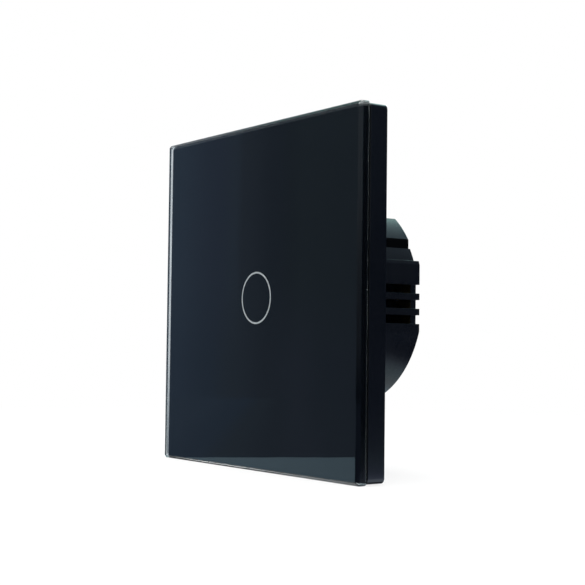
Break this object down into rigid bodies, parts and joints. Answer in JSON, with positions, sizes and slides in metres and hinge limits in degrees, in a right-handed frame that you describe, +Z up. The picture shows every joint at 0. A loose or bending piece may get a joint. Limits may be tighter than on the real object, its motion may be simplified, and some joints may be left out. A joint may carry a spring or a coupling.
{
  "type": "touch light switch",
  "caption": "Square black glass touch switch with a light ring, on a clip-on frame and steel yoke, with a round wall-box base and screw terminals.",
  "frame": {"origin": "centre of the yoke's rear face, on the axis of the round base, in the wall plane", "axes": "+Z up, -Y the way the glass faces, +X to the right seen from the front"},
  "size_m": [0.08, 0.0305, 0.08],
  "materials": {
    "panel_glass": "polished glass with a ground bevel",
    "black_ink": "opaque black ink fired on the glass",
    "ring_ink": "translucent white ink",
    "tape": "foam adhesive tape",
    "frame_plastic": "satin black moulding",
    "cover_plastic": "matt black moulding",
    "guide_plastic": "milky clear moulding",
    "board_laminate": "green solder mask",
    "copper": "gold-flashed copper",
    "led_resin": "clear resin",
    "chip_resin": "moulded resin",
    "strip_plastic": "black moulding with gilt pins",
    "yoke_steel": "zinc-plated sheet",
    "screw_steel": "zinc-plated",
    "base_plastic": "fine spark-eroded black moulding",
    "block_plastic": "fine spark-eroded dark grey moulding",
    "bar_brass": "stamped brass",
    "relay_plastic": "blue case",
    "film_plastic": "yellow case",
    "can_sleeve": "shrunk sleeve",
    "choke_winding": "enamelled copper wire on a ferrite core",
    "varistor_coating": "dipped epoxy",
    "resistor_coating": "dipped cement",
    "clamp_steel": "nickel-plated",
    "cage_steel": "passivated"
  },
  "bodies": {
    "switch_body": {"sensor_cover": "cover_plastic", "light_guide": "guide_plastic", "touch_board": "board_laminate", "touch_electrode": "copper", "indicator_leds": "led_resin", "touch_controller": "chip_resin", "board_socket": "strip_plastic", "pin_header": "strip_plastic", "yoke": "yoke_steel", "flange_screws": "screw_steel", "base_cup": "base_plastic", "terminal_block": "block_plastic", "terminal_bar_1": "bar_brass", "terminal_bar_2": "bar_brass", "terminal_bar_3": "bar_brass", "power_board": "board_laminate", "board_screws": "screw_steel", "relay": "relay_plastic", "film_capacitor": "film_plastic", "electrolytic_large": "can_sleeve", "electrolytic_small": "can_sleeve", "choke": "choke_winding", "varistor": "varistor_coating", "fuse_resistor": "resistor_coating", "bridge_rectifier": "chip_resin", "regulator": "chip_resin"},
    "panel": {"glass_panel": "panel_glass", "back_print": "black_ink", "touch_ring": "ring_ink", "glass_adhesive": "tape", "panel_frame": "frame_plastic"},
    "terminal_screw_1": {"terminal_screw_1": "clamp_steel"},
    "terminal_cage_1": {"terminal_cage_1": "cage_steel"},
    "terminal_screw_2": {"terminal_screw_2": "clamp_steel"},
    "terminal_cage_2": {"terminal_cage_2": "cage_steel"},
    "terminal_screw_3": {"terminal_screw_3": "clamp_steel"},
    "terminal_cage_3": {"terminal_cage_3": "cage_steel"}
  },
  "joints": [
    {"name": "panel_pull", "type": "slide", "parent": "switch_body", "child": "panel", "axis": [0, -1, 0], "range_m": [0, 0.02]},
    {"name": "terminal_screw_1_turn", "type": "hinge", "parent": "switch_body", "child": "terminal_screw_1", "pos_m": [-0.011, 0.0216, 0.0147], "axis": [0, -1, 0], "range_deg": [0, 1440]},
    {"name": "terminal_cage_1_lift", "type": "slide", "parent": "switch_body", "child": "terminal_cage_1", "axis": [0, 1, 0], "range_m": [0, 0.002]},
    {"name": "terminal_screw_2_turn", "type": "hinge", "parent": "switch_body", "child": "terminal_screw_2", "pos_m": [0, 0.0216, 0.0147], "axis": [0, -1, 0], "range_deg": [0, 1440]},
    {"name": "terminal_cage_2_lift", "type": "slide", "parent": "switch_body", "child": "terminal_cage_2", "axis": [0, 1, 0], "range_m": [0, 0.002]},
    {"name": "terminal_screw_3_turn", "type": "hinge", "parent": "switch_body", "child": "terminal_screw_3", "pos_m": [0.011, 0.0216, 0.0147], "axis": [0, -1, 0], "range_deg": [0, 1440]},
    {"name": "terminal_cage_3_lift", "type": "slide", "parent": "switch_body", "child": "terminal_cage_3", "axis": [0, 1, 0], "range_m": [0, 0.002]}
  ],
  "couplings": [
    {"joint": "terminal_screw_1_turn", "follows": "terminal_cage_1_lift", "rad_per_m": 12566},
    {"joint": "terminal_screw_2_turn", "follows": "terminal_cage_2_lift", "rad_per_m": 12566},
    {"joint": "terminal_screw_3_turn", "follows": "terminal_cage_3_lift", "rad_per_m": 12566}
  ]
}
